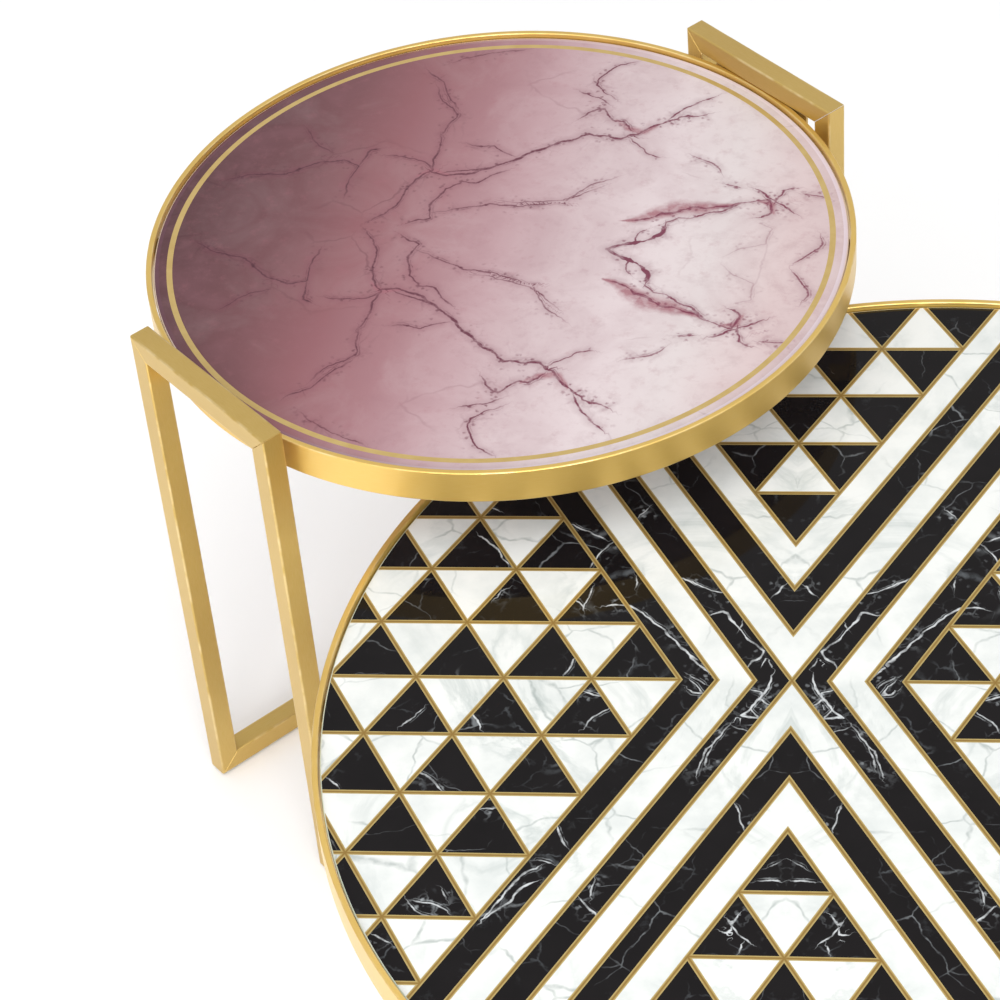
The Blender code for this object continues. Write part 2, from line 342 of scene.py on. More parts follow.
def makePinkMarble(centre, radius):
    look = pinkPrint
    fixed = {"IOR": 1.5, "Coat Weight": 0.8, "Coat Roughness": 0.02, "Coat IOR": 1.4,
             "Specular IOR Level": 0.0}
    material, start, place = newMaterial("pink marble glass", fixed)
    own = place.placed(location=(centre[0], centre[1], 0), rotation=(0, 0, look["turn"]), kind="TEXTURE")
    x, y, _ = own.pieces()
    y = abs(y)
    mirrored = own.node("ShaderNodeCombineXYZ", None, {0: x, 1: y})
    across = x / radius * 0.5 + 0.5
    stops = [(place, ink(*colour)) for place, colour in look["ombre"]]
    drift = (mirrored.noise(5.0, 4.0) - 0.5) * 0.06
    colour = start.node("ShaderNodeValToRGB", {"stops": stops}, {0: across + drift})
    clouds = mirrored.noise(11.0, 6.0, 0.62, 0.6)
    light = across.soft(0.25, 0.75)
    mottle = mirrored.noise(52.0, 5.0, 0.68)
    colour = layered(colour, (clouds.soft(0.50, 0.72) * (0.05 + light * 0.22), ink(240, 230, 230)),
                     (clouds.soft(0.50, 0.30) * 0.22, ink(156, 108, 118)),
                     (mottle.soft(0.52, 0.75) * 0.20, ink(150, 104, 112)))
    wobble, flutter = veinDrift(mirrored, look)
    families = veinWires(start)
    body = veinMask(families, wobble, flutter * 0.55, 8.0, 0.9)
    strand = veinMask(families, wobble * 1.25 + 2.2, flutter * 0.12, 10.0, 0.8)
    strand = strand * mirrored.noise(19.0, 2.0).soft(0.44, 0.58)
    halo = veinMask(families, wobble * 1.1, flutter * 1.3, 14.0, 7.0)
    veinColour = light.mix(look["veinDeep"], look["vein"])
    faint = 0.62 + across.soft(0.15, 0.55) * 0.38       # veins sink into the dark end
    grain = mirrored.noise(110.0, 3.0, 0.6).soft(0.34, 0.56)
    closeBy = veinMask(families, 0, flutter, 16.0, 14.0)
    crumbs = crackNet(mirrored, 42.0, 0.03, 0.01, 0.06) * closeBy
    crumbs = crumbs * mirrored.noise(24.0, 3.0).soft(0.46, 0.60)
    specks = speckField(mirrored, 165.0, 0.8) * closeBy * mirrored.noise(26.0, 2.0).soft(0.40, 0.52)
    hair = crackNet(mirrored, 13.0, 0.045, 0.004, 0.020) * mirrored.noise(8.0, 3.0).soft(0.52, 0.64)
    wash = (start.stored("veinWash") + (mirrored.noise(70.0, 5.0, 0.7) - 0.5) * 1.1).soft(0.05, 0.75)
    colour = layered(colour, (halo * 0.22, look["vein"]), (wash * (0.46 + grain * 0.40), look["washTone"]),
                     (hair * 0.30, veinColour), (crumbs * 0.27, veinColour),
                     (specks * 0.80 * faint, veinColour), (strand * grain * 0.60 * faint, veinColour),
                     (body * (0.52 + grain * 0.46) * faint, veinColour))
    fromCentre = x.math("SQRT", x * x + y * y)
    ring = (fromCentre > look["ringInner"]) * (fromCentre < look["ringOuter"])
    gold = mirrored.noise(60.0, 3.0).mix(look["gold"], look["goldDeep"])
    band = fromCentre > look["borderOuter"]
    colour = layered(colour, (ring, gold), (band * (0.34 - light * 0.34), ink(118, 78, 98)),
                     (band * light * 0.55, ink(238, 224, 236)))
    connect(material, {"Base Color": colour, "Roughness": 0.35 - ring * 0.05, "Metallic": ring * 0.35})
    return material


# Black and white marble pattern of the low table
inlay = {
    "centre": (-0.10567, -0.06431),     # from the table's centre
    "turn": radians(45.519),
    "slope": 1.77,
    "halfBand": 0.0847,                 # the crossing's half width on the short axis
    "triangle": 0.0673,                 # a triangle's base
    "goldWidth": 0.0038,
    "black": ink(30, 27, 28),
    "blackDeep": ink(16, 14, 15),
    "white": ink(244, 246, 243),
    "whiteGrey": ink(212, 218, 216),
    "gold": ink(156, 125, 66),
    "goldLight": ink(202, 180, 118),
    "goldDeep": ink(158, 122, 62),
    "wobble": (36.0, 3.0, 5.5),         # as for the pink print
    "fineWobble": 1.8,
    "flutter": (66.0, 0.64),
    "seed": 23,
}


def makePattern(centre):
    look = inlay
    slope = look["slope"]
    base = look["triangle"]
    rise = slope * base / 2
    bands = slope * look["halfBand"]
    stripe = bands / 3
    fixed = {"IOR": 1.5, "Coat Weight": 0.5, "Coat Roughness": 0.06, "Coat IOR": 1.35,
             "Specular IOR Level": 0.0}
    material, start, place = newMaterial("patterned marble glass", fixed)
    spot = (centre[0] + look["centre"][0], centre[1] + look["centre"][1], 0)
    u, v, _ = place.placed(location=spot, rotation=(0, 0, look["turn"]), kind="TEXTURE").pieces()
    u = abs(u)
    mirrored = u.node("ShaderNodeCombineXYZ", None, {0: u, 1: v})

    # Crossing bands: steepness past the diagonal, in stripes of one third
    past = abs(v) - u * slope
    upDown = past > 0
    depth = abs(past)
    middle = abs(depth - bands / 2) < stripe / 2
    bandBlack = 1 - abs(upDown - middle)
    bandLine = (depth / stripe).toWhole() * (stripe / sqrt(1 + slope * slope))

    # Triangle fields beyond the bands
    rowUp = (abs(v) - bands) / rise
    rowSide = v / rise
    row = rowSide + upDown * (rowUp - rowSide)
    shift = (u - look["halfBand"] * (1 - upDown)) / base
    left = shift - row * 0.5
    right = 0 - shift - row * 0.5
    pointsUp = (row.fraction() + left.fraction() + right.fraction()) < 1.5
    fieldBlack = abs(upDown - pointsUp)
    fieldLine = row.toWhole().least(left.toWhole()).least(right.toWhole()) * rise

    inField = depth > bands
    black = bandBlack + inField * (fieldBlack - bandBlack)
    line = bandLine + inField * (fieldLine.least((depth - bands) / sqrt(1 + slope * slope)) - bandLine)

    # Black marble with thin broken white veins, finer hairlines and crumbs beside them
    wobble, flutter = veinDrift(mirrored, look)
    families = veinWires(start)
    grain = mirrored.noise(90.0, 3.0, 0.6).soft(0.36, 0.58)
    veins = veinMask(families, wobble, flutter * 0.58, 8.0, 0.7)
    strand = veinMask(families, wobble * 1.3 + 2.2, flutter * 0.10, 10.0, 0.6)
    strand = strand * mirrored.noise(21.0, 2.0).soft(0.46, 0.60)
    closeBy = veinMask(families, 0, flutter, 16.0, 14.0)
    crumbs = crackNet(mirrored, 46.0, 0.03, 0.008, 0.05) * closeBy
    crumbs = crumbs * mirrored.noise(26.0, 3.0).soft(0.46, 0.62)
    hair = crackNet(mirrored, 17.0, 0.035, 0.003, 0.012) * mirrored.noise(11.0, 3.0).soft(0.50, 0.62)
    thread = crackNet(mirrored.placed(location=(0.7, 0.3, 0)), 30.0, 0.03, 0.006, 0.03)
    thread = thread * mirrored.noise(14.0, 3.0).soft(0.54, 0.66)
    dust = mirrored.noise(44.0, 6.0, 0.7).soft(0.60, 0.80)
    specks = speckField(mirrored, 170.0, 0.5) * closeBy * mirrored.noise(26.0, 2.0).soft(0.46, 0.58)
    blackStone = layered(mirrored.noise(25.0, 4.0).mix(look["black"], look["blackDeep"]),
                         (dust * 0.11, ink(150, 158, 164)),
                         (hair * (0.04 + grain * 0.28), ink(196, 202, 206)),
                         (thread * 0.18 * grain, ink(170, 178, 184)),
                         (crumbs * 0.26, ink(206, 212, 216)),
                         (specks * 0.55, ink(206, 212, 216)),
                         (strand * grain * 0.45, ink(214, 220, 223)),
                         (veins * (0.25 + grain * 0.60), ink(232, 236, 238)))

    # White marble with soft grey-green veins
    drift = abs(mirrored.noise(5.0, 6.0, 0.62, 1.6) - 0.5)
    softVein = (1 - drift.soft(0.0, 0.045)) * mirrored.noise(7.0, 3.0).soft(0.42, 0.64)
    fineVein = crackNet(mirrored.placed(location=(0.2, 0.9, 0)), 14.0, 0.05, 0.003, 0.020)
    fineVein = fineVein * mirrored.noise(9.0, 2.0).soft(0.42, 0.56)
    whiteStone = mirrored.noise(18.0, 5.0, 0.6).soft(0.42, 0.85).mix(look["white"], look["whiteGrey"])
    whiteStone = layered(whiteStone, (softVein * 0.50, ink(176, 187, 184)),
                         (fineVein * (0.26 + grain * 0.34), ink(150, 161, 158)))

    colour = black.mix(whiteStone, blackStone)
    half = look["goldWidth"] / 2
    onLine = line < half
    sheen = mirrored.noise(120.0, 3.0).soft(0.35, 0.65)
    gold = line.soft(half * 0.20, half * 0.75).mix(look["gold"], look["goldLight"])
    gold = (sheen * 0.25).mix(gold, look["goldDeep"])
    connect(material, {"Base Color": onLine.mix(colour, gold), "Roughness": 0.40 - sheen * onLine * 0.1,
                       "Metallic": onLine * 0.30})
    return material


# Surfaces on a grid, worked out with numpy
def joinGrid(rows, columns, closedRows=False):
    # Corner numbers of the quads of a grid whose columns always close; rows close for a ring
    last = rows if closedRows else rows - 1
    i, j = np.meshgrid(np.arange(last), np.arange(columns), indexing="ij")
    nextI = (i + 1) % rows
    nextJ = (j + 1) % columns
    quads = (i * columns + j, i * columns + nextJ, nextI * columns + nextJ, nextI * columns + j)
    return np.stack(quads, -1).reshape(-1, 4)


def signedVolume(points, faces):
    # Sum of the tetrahedra from the origin; positive when faces point outwards
    a = points[faces[:, 0]]
    total = 0.0
    for k in range(1, faces.shape[1] - 1):
        total += np.einsum("ij,ij->i", a, np.cross(points[faces[:, k]], points[faces[:, k + 1]])).sum()
    return total / 6


sharpAngle = radians(32)        # edges bent further than this stay crisp


def makePiece(name, points, faceGroups, uvGroups, materials, groupMaterial, body, nodes, values=None):
    # faceGroups: arrays of corner numbers, one array for each polygon size; uvGroups go with them
    origin = points.mean(0)
    turn = sum(signedVolume(points - origin, faces) for faces in faceGroups) < 0
    if turn:
        faceGroups = [faces[:, ::-1] for faces in faceGroups]
        uvGroups = [uv[:, ::-1] for uv in uvGroups]
    mesh = bpy.data.meshes.new(name)
    corners = np.concatenate([faces.ravel() for faces in faceGroups])
    sizes = np.concatenate([np.full(len(faces), faces.shape[1]) for faces in faceGroups])
    starts = np.concatenate([[0], np.cumsum(sizes)[:-1]])
    mesh.vertices.add(len(points))
    mesh.vertices.foreach_set("co", points.astype(np.float32).ravel())
    mesh.loops.add(len(corners))
    mesh.loops.foreach_set("vertex_index", corners.astype(np.int32))
    mesh.polygons.add(len(sizes))
    mesh.polygons.foreach_set("loop_start", starts.astype(np.int32))
    uv = np.concatenate([part.reshape(-1, 2) for part in uvGroups])
    layer = mesh.uv_layers.new(name="grain")
    layer.uv.foreach_set("vector", uv.astype(np.float32).ravel())
    for key, value in (values or {}).items():
        kind = "FLOAT" if value.ndim == 1 else "FLOAT_VECTOR"
        attribute = mesh.attributes.new(key, kind, "POINT")
        field = "value" if value.ndim == 1 else "vector"
        attribute.data.foreach_set(field, value.astype(np.float32).ravel())
    for material in materials:
        mesh.materials.append(material)
    mesh.polygons.foreach_set("material_index", groupMaterial.astype(np.int32))
    mesh.update(calc_edges=True)
    mesh.validate()
    mesh.shade_smooth()
    mesh.set_sharp_from_angle(angle=sharpAngle)
    piece = bpy.data.objects.new(name, mesh)
    bpy.context.scene.collection.objects.link(piece)
    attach(piece, body)
    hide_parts(*nodes)
    return piece


def roundedOutline(corners, radius, steps=5, support=0.0006):
    # Each corner becomes an arc that touches both sides; a support point on each side keeps the flats flat
    corners = np.array(corners, float)
    before = np.roll(corners, 1, 0) - corners
    after = np.roll(corners, -1, 0) - corners
    before /= np.linalg.norm(before, axis=1)[:, None]
    after /= np.linalg.norm(after, axis=1)[:, None]
    half = np.arccos(np.clip((before * after).sum(1), -1, 1)) / 2
    reach = radius / np.tan(half)
    bisector = (before + after) / np.linalg.norm(before + after, axis=1)[:, None]
    middle = corners + bisector * (radius / np.sin(half))[:, None]
    first = corners + before * reach[:, None] - middle
    last = corners + after * reach[:, None] - middle
    swing = np.arccos(np.clip((first * last).sum(1) / radius ** 2, -1, 1))
    share = np.linspace(0, 1, steps)[None, :, None]
    weight = np.sin(swing)[:, None, None]
    arc = (np.sin((1 - share) * swing[:, None, None]) * first[:, None]
           + np.sin(share * swing[:, None, None]) * last[:, None]) / weight
    arc = arc + middle[:, None]
    lead = (corners + before * (reach + support)[:, None])[:, None]
    trail = (corners + after * (reach + support)[:, None])[:, None]
    points = np.concatenate([lead, arc, trail], 1)
    edge = np.tile(np.concatenate([[0], np.sin(np.linspace(0, pi, steps)) * 0.6 + 0.4, [0]]), len(corners))
    return points.reshape(-1, 2), edge


def insetOutline(outline, amount):
    # Every point moves in along the mean normal of its two sides
    step = np.roll(outline, -1, 0) - np.roll(outline, 1, 0)
    normal = np.stack([-step[:, 1], step[:, 0]], 1)
    normal /= np.linalg.norm(normal, axis=1)[:, None]
    area = (outline[:, 0] * np.roll(outline[:, 1], -1) - outline[:, 1] * np.roll(outline[:, 0], -1)).sum()
    return outline + normal * amount * np.sign(area)


def nameNumber(text):
    # A small number from a name, the same each run
    return sum((position + 3) * ord(letter) for position, letter in enumerate(text))


def carriedPiece(name, outline, edge, frameAxes, ends, mitres, softening, rows, material, body, nodes):
    # An outline carried along a straight line from ends[0] to ends[1]:
    # point = origin + across1 * x + across2 * y + along * (end - cut), with cut 0 on a mitre's long side
    origin, across1, across2, along = (np.array(part, float) for part in frameAxes)
    slim = insetOutline(outline, softening)
    stations = np.concatenate([[0, 0], np.linspace(0, 1, rows)[1:-1], [1, 1]])
    depth = np.concatenate([[0, softening], np.zeros(rows - 2), [-softening, 0]])
    half = np.abs(outline).max(0)
    rings = []
    heights = []
    for number, (station, into) in enumerate(zip(stations, depth)):
        ring = slim if number in (0, len(stations) - 1) else outline
        cut = [np.zeros(len(ring)), np.zeros(len(ring))]
        for which in (0, 1):
            if mitres[which] is not None:
                direction = np.array(mitres[which], float)
                cut[which] = (half * np.abs(direction)).sum() - ring @ direction
        start = ends[0] + cut[0]
        end = ends[1] - cut[1]
        height = start + (end - start) * station + into
        rings.append(origin + ring[:, :1] * across1 + ring[:, 1:] * across2 + height[:, None] * along)
        heights.append(height)
    points = np.concatenate(rings)
    columns = len(outline)
    count = len(rings)
    quads = joinGrid(count, columns)
    around = np.concatenate([[0], np.cumsum(np.linalg.norm(np.roll(outline, -1, 0) - outline, axis=1))])
    heights = np.array(heights)
    i, j = quads[:, 0] // columns, quads[:, 0] % columns
    nextI, nextJ = i + 1, (j + 1) % columns
    offset = (nameNumber(name) % 97) / 97       # so that no two tubes share their strokes
    corners = ((i, j, j), (i, nextJ, j + 1), (nextI, nextJ, j + 1), (nextI, j, j))
    uv = np.stack([np.stack([heights[row, column] + offset, around[part]], -1)
                   for row, column, part in corners], 1)
    lowCap = np.arange(columns)[::-1][None]
    highCap = (np.arange(columns) + (count - 1) * columns)[None]
    capUv = np.concatenate([outline[::-1][None], outline[None]])
    values = {"edge": np.tile(edge, count)}
    groupMaterial = np.zeros(len(quads) + 2)
    return makePiece(name, points, [quads, np.concatenate([lowCap, highCap])], [uv, capUv],
                     [material], groupMaterial, body, nodes, values)


def upright(x, y, z=0):
    # An axis frame that stands up from a spot
    return (x, y, z), (1, 0, 0), (0, 1, 0), (0, 0, 1)


def turnedPiece(name, axis, profile, steps, closed, materials, body, nodes,
                rowMaterial=None, edge=None, extra=None):
    # A profile of (distance from axis, height) turned about it: (r cos a, r sin a, h) on the axis frame
    origin, side, up, ahead = (np.array(part, float) for part in axis)
    profile = np.array(profile, float)
    inner = profile if closed else profile[1:-1]
    angles = np.arange(steps) * 2 * pi / steps
    radius = inner[:, 0][:, None, None]
    points = (origin + radius * (np.cos(angles)[None, :, None] * side + np.sin(angles)[None, :, None] * up)
              + inner[:, 1][:, None, None] * ahead).reshape(-1, 3)
    quads = joinGrid(len(inner), steps, closed)
    i, j = quads[:, 0] // steps, quads[:, 0] % steps
    runs = np.linalg.norm(np.diff(np.vstack([inner, inner[:1]]), axis=0), axis=1)
    length = np.concatenate([[0], np.cumsum(runs)])
    reach = max(inner[:, 0].max(), 1e-6)
    u0, u1 = j * 2 * pi / steps * reach, (j + 1) * 2 * pi / steps * reach
    v0, v1 = length[i], length[i + 1]
    uv = np.stack([np.stack(pair, -1) for pair in ((u0, v0), (u1, v0), (u1, v1), (u0, v1))], 1)
    groups, uvs = [quads], [uv]
    rowMaterial = np.zeros(len(inner), int) if rowMaterial is None else rowMaterial
    materialIndex = [rowMaterial[i]]
    if not closed:
        count = len(points)
        poles = np.array([origin + profile[0, 1] * ahead, origin + profile[-1, 1] * ahead])
        points = np.vstack([points, poles])
        j = np.arange(steps)
        nextJ = (j + 1) % steps
        lastRow = (len(inner) - 1) * steps
        fans = np.concatenate([np.stack([np.full(steps, count), nextJ, j], -1),
                               np.stack([np.full(steps, count + 1), lastRow + j, lastRow + nextJ], -1)])
        groups.append(fans)
        uvs.append(np.zeros((2 * steps, 3, 2)))
        materialIndex.append(np.repeat([rowMaterial[0], rowMaterial[-1]], steps))
    values = {}
    if edge is not None:
        wear = np.repeat(np.array(edge if closed else edge[1:-1], float), steps)
        values["edge"] = wear if closed else np.concatenate([wear, [0, 0]])
    if extra is not None:
        values.update(extra(points))
    groupMaterial = np.concatenate(materialIndex)
    return makePiece(name, points, groups, uvs, materials, groupMaterial, body, nodes, values)


def softProfile(corners, radii, steps=4):
    # A path of straight runs whose corners are rounded by the given radii; both ends stay
    corners = np.array(corners, float)
    points = [corners[:1]]
    for k in range(1, len(corners) - 1):
        radius = radii[k - 1]
        before = corners[k - 1] - corners[k]
        after = corners[k + 1] - corners[k]
        before /= np.linalg.norm(before)
        after /= np.linalg.norm(after)
        half = np.arccos(np.clip(before @ after, -1, 1)) / 2
        reach = radius / np.tan(half)
        share = np.linspace(0, 1, steps)[:, None]
        start, end = corners[k] + before * reach, corners[k] + after * reach
        points.append((1 - share) ** 2 * start + 2 * share * (1 - share) * corners[k] + share ** 2 * end)
    points.append(corners[-1:])
    return np.vstack(points)


# Where the frame says things are
def middleOf(node):
    low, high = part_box(node)
    return (low + high) / 2


def heading(start, end):
    # Level unit direction from one place to another
    step = (np.array(end) - np.array(start)) * (1, 1, 0)
    return step / np.linalg.norm(step)


tables = {}
for prefix, body in (("tall", "tall_table"), ("low", "low_table")):
    rimLow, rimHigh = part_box(f"{prefix}_rim_band")
    tables[prefix] = {
        "body": body,
        "centre": ((rimLow.x + rimHigh.x) / 2, (rimLow.y + rimHigh.y) / 2),
        "radius": (rimHigh.x - rimLow.x) / 2,
        "rimTop": rimHigh.z,
        "rimBottom": rimLow.z,
    }


# Leg frames of square tube
tubeLook = {
    "cornerRadius": 0.0016,
    "weldSoftening": 0.0003,        # at the mitres, which shows as a fine joint line
    "rows": 8,
}


def makeTube(name, node, longSides, body, material):
    # longSides: the world directions in which each mitred end is longest
    low, high = (np.array(corner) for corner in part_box(node))
    size = high - low
    lengthwise = int(size.argmax())
    others = [axis for axis in range(3) if axis != lengthwise]
    unit = np.eye(3)
    side = size[others].min()
    outline, edge = roundedOutline(((-side / 2, -side / 2), (side / 2, -side / 2), (side / 2, side / 2),
                                    (-side / 2, side / 2)), tubeLook["cornerRadius"])
    origin = (low + high) / 2
    axes = (origin, unit[others[0]], unit[others[1]], unit[lengthwise])
    mitres = [np.array(direction, float)[others] for direction in longSides]
    ends = (-size[lengthwise] / 2, size[lengthwise] / 2)
    return carriedPiece(name, outline, edge, axes, ends, mitres, tubeLook["weldSoftening"], tubeLook["rows"],
                        material, body, [node])


def makeLegs(prefix, material):
    table = tables[prefix]
    centre = np.array((*table["centre"], 0))
    body = table["body"]
    up = (0, 0, 1)
    down = (0, 0, -1)
    for index in (1, 2):
        makeTube(f"{prefix}Bar{index}", f"{prefix}_top_bar_{index}", (up, up), body, material)
        makeTube(f"{prefix}Rail{index}", f"{prefix}_floor_rail_{index}", (down, down), body, material)
        bar = middleOf(f"{prefix}_top_bar_{index}")
        outward = np.round(heading(centre, bar))
        for hand in ("left", "right"):
            node = f"{prefix}_post_{index}_{hand}"
            apart = np.round(heading(bar, middleOf(node)))
            makeTube(f"{prefix}Post{index}{hand}", node, (outward, apart), body, material)
    print(prefix, "legs done")


# Rims of flat bar
rimLook = {"thickness": 0.005, "cornerRadius": 0.0009, "steps": 384}


def makeRim(prefix, material):
    table = tables[prefix]
    look = rimLook
    outer, inner = table["radius"], table["radius"] - look["thickness"]
    outline, edge = roundedOutline(((inner, table["rimBottom"]), (outer, table["rimBottom"]),
                                    (outer, table["rimTop"]), (inner, table["rimTop"])), look["cornerRadius"])
    turnedPiece(f"{prefix}Rim", upright(*table["centre"]), outline, look["steps"], True, [material],
                table["body"], [f"{prefix}_rim_band"], edge=edge)


# Brackets under the top bars and tabs under the glass
angleLook = {"thickness": 0.003, "cornerRadius": 0.0006, "softening": 0.0004, "rows": 4}


def makeAngle(name, node, outward, hang, body, material):
    # An L section: its plate lies flat under the top face, its flange hangs where outward says
    low, high = (np.array(corner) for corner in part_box(node))
    outward = np.array(outward, float)
    sideways = np.array((-outward[1], outward[0], 0))
    top = high[2]
    coords = np.array([vertex.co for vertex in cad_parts[node].data.vertices])
    reach = coords @ outward
    width = coords @ sideways
    depth = top - low[2]
    thick = angleLook["thickness"]
    start, end = (reach.min(), reach.max()) if hang < 0 else (reach.max(), reach.min())
    toward = 1 if end > start else -1
    corners = ((start, top), (end, top), (end, top - thick), (start + toward * thick, top - thick),
               (start + toward * thick, top - depth), (start, top - depth))
    outline, edge = roundedOutline(corners, angleLook["cornerRadius"], 4, 0.0004)
    axes = ((0, 0, 0), outward, (0, 0, 1), sideways)
    return carriedPiece(name, outline, edge, axes, (width.min(), width.max()), (None, None),
                        angleLook["softening"], angleLook["rows"], material, body, [node])


# Corners as shares of the disc's radius and height, and the radius of each rounded corner
discLook = {
    "bumper": ((0, 0), (0.94, 0), (1, 0.3), (0.9, 0.85), (0.4, 1), (0, 1)),     # domed
    "bumperRadii": (0.0002, 0.0005, 0.0009, 0.001),
    "bumperSteps": 40,
    "glide": ((0, 0), (0.82, 0), (1, 0.55), (1, 1), (0, 1)),                    # soft lower edge
    "glideRadii": (0.0008, 0.0004, 0.0002),
    "glideSteps": 48,
}


def makeDisc(name, node, kind, material, body):
    # A small turned disc on an upright axis through the middle of its node
    low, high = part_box(node)
    radius, height = (high.x - low.x) / 2, high.z - low.z
    middle = middleOf(node)
    corners = [(radius * across, height * up) for across, up in discLook[kind]]
    profile = softProfile(corners, discLook[f"{kind}Radii"], 5)
    turnedPiece(name, upright(middle.x, middle.y, low.z), profile, discLook[f"{kind}Steps"], False,
                [material], body, [node])


def makeFittings(prefix, material, silicone, zinc, plastic):
    table = tables[prefix]
    centre = np.array((*table["centre"], 0))
    body = table["body"]
    for index in (1, 2):
        node = f"{prefix}_rim_bracket_{index}"
        outward = np.round(heading(centre, middleOf(node)))
        makeAngle(f"{prefix}Bracket{index}", node, outward, -1, body, material)
    for index in range(1, 5):
        node = f"{prefix}_glass_tab_{index}"
        makeAngle(f"{prefix}Tab{index}", node, heading(centre, middleOf(node)), 1, body, material)
        makeDisc(f"{prefix}Bumper{index}", f"{prefix}_bumper_{index}", "bumper", silicone, body)
        makeDisc(f"{prefix}Glide{index}", f"{prefix}_floor_glide_{index}", "glide", plastic, body)
        makeScrew(prefix, index, centre, body, zinc)
    print(prefix, "fittings done")


screwLook = {
    "head": 0.0046,                 # radii first
    "shank": 0.0025,
    "socket": 0.0016,
    "dome": 0.0005,
    "socketDepth": 0.0014,
    "coneDepth": 0.0021,
    "length": 0.008,
    "steps": 48,
}


def makeScrew(prefix, index, centre, body, zinc):
    # Raised countersunk head with a round socket; its axis points at the table's centre
    look = screwLook
    node = f"{prefix}_rim_screw_{index}"
    middle = np.array(middleOf(node))
    toCentre = (centre - middle) * (1, 1, 0)
    face = np.argmax(np.abs(toCentre))
    inward = np.zeros(3)
    inward[face] = np.sign(toCentre[face])
    low, high = (np.array(corner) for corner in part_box(node))
    origin = middle.copy()
    origin[face] = high[face] if inward[face] > 0 else low[face]
    axes = (origin, np.cross((0, 0, 1), inward), (0, 0, 1), inward)
    head, shank, socket, dome = (look[key] for key in ("head", "shank", "socket", "dome"))
    floor, cone, tip = (-look[key] for key in ("socketDepth", "coneDepth", "length"))
    corners = ((0, tip), (shank, tip), (shank, cone), (head, -0.0001), (head * 0.8, dome * 0.7),
               (socket, dome), (socket, floor), (0, floor))
    profile = softProfile(corners, (0.0004, 0.0003, 0.00015, 0.0008, 0.00015, 0.0001), 4)
    turnedPiece(f"{prefix}Screw{index}", axes, profile, look["steps"], False, [zinc], body, [node])


# Veins listed as broken lines in the print's own frame
def roughened(line, generator, rounds=2, amount=0.07):
    # Each run gets a point near its middle, pushed aside by a share of its length, twice over
    line = np.reshape(line, (-1, 2)).astype(float)
    for _ in range(rounds):
        middle = (line[1:] + line[:-1]) / 2
        step = line[1:] - line[:-1]
        aside = np.stack([-step[:, 1], step[:, 0]], 1) * generator.uniform(-amount, amount, (len(step), 1))
        joined = np.empty((len(line) + len(middle), 2))
        joined[0::2] = line
        joined[1::2] = middle + aside
        line = joined
    return line


def veinFields(spots, veins, seed):
    # For each family: distance in mm with the side as its sign, plain distance, half width at the nearest
    farAway = 50.0
    side = np.full((len(spots), 3), farAway)
    near = np.full((len(spots), 3), farAway)
    wide = np.zeros((len(spots), 3))
    generator = np.random.default_rng(seed)
    for family, width, line in veins:
        line = roughened(line, generator)
        count = len(line) - 1
        for number in range(count):
            a, b = line[number], line[number + 1]
            run = b - a
            length = np.linalg.norm(run)
            offset = spots - a
            along = np.clip(offset @ run / length ** 2, 0, 1)
            gap = np.linalg.norm(offset - along[:, None] * run, axis=1)
            sign = np.sign(run[0] * offset[:, 1] - run[1] * offset[:, 0])
            progress = (number + along) / count
            taper = np.minimum(1, np.minimum(progress, 1 - progress) * 4 + 0.35)
            closer = gap < near[:, family]
            near[closer, family] = gap[closer]
            side[closer, family] = (gap * np.where(sign == 0, 1, sign))[closer]
            wide[closer, family] = (width * taper)[closer]
    return {"veinSide": side, "veinNear": near, "veinWide": wide}


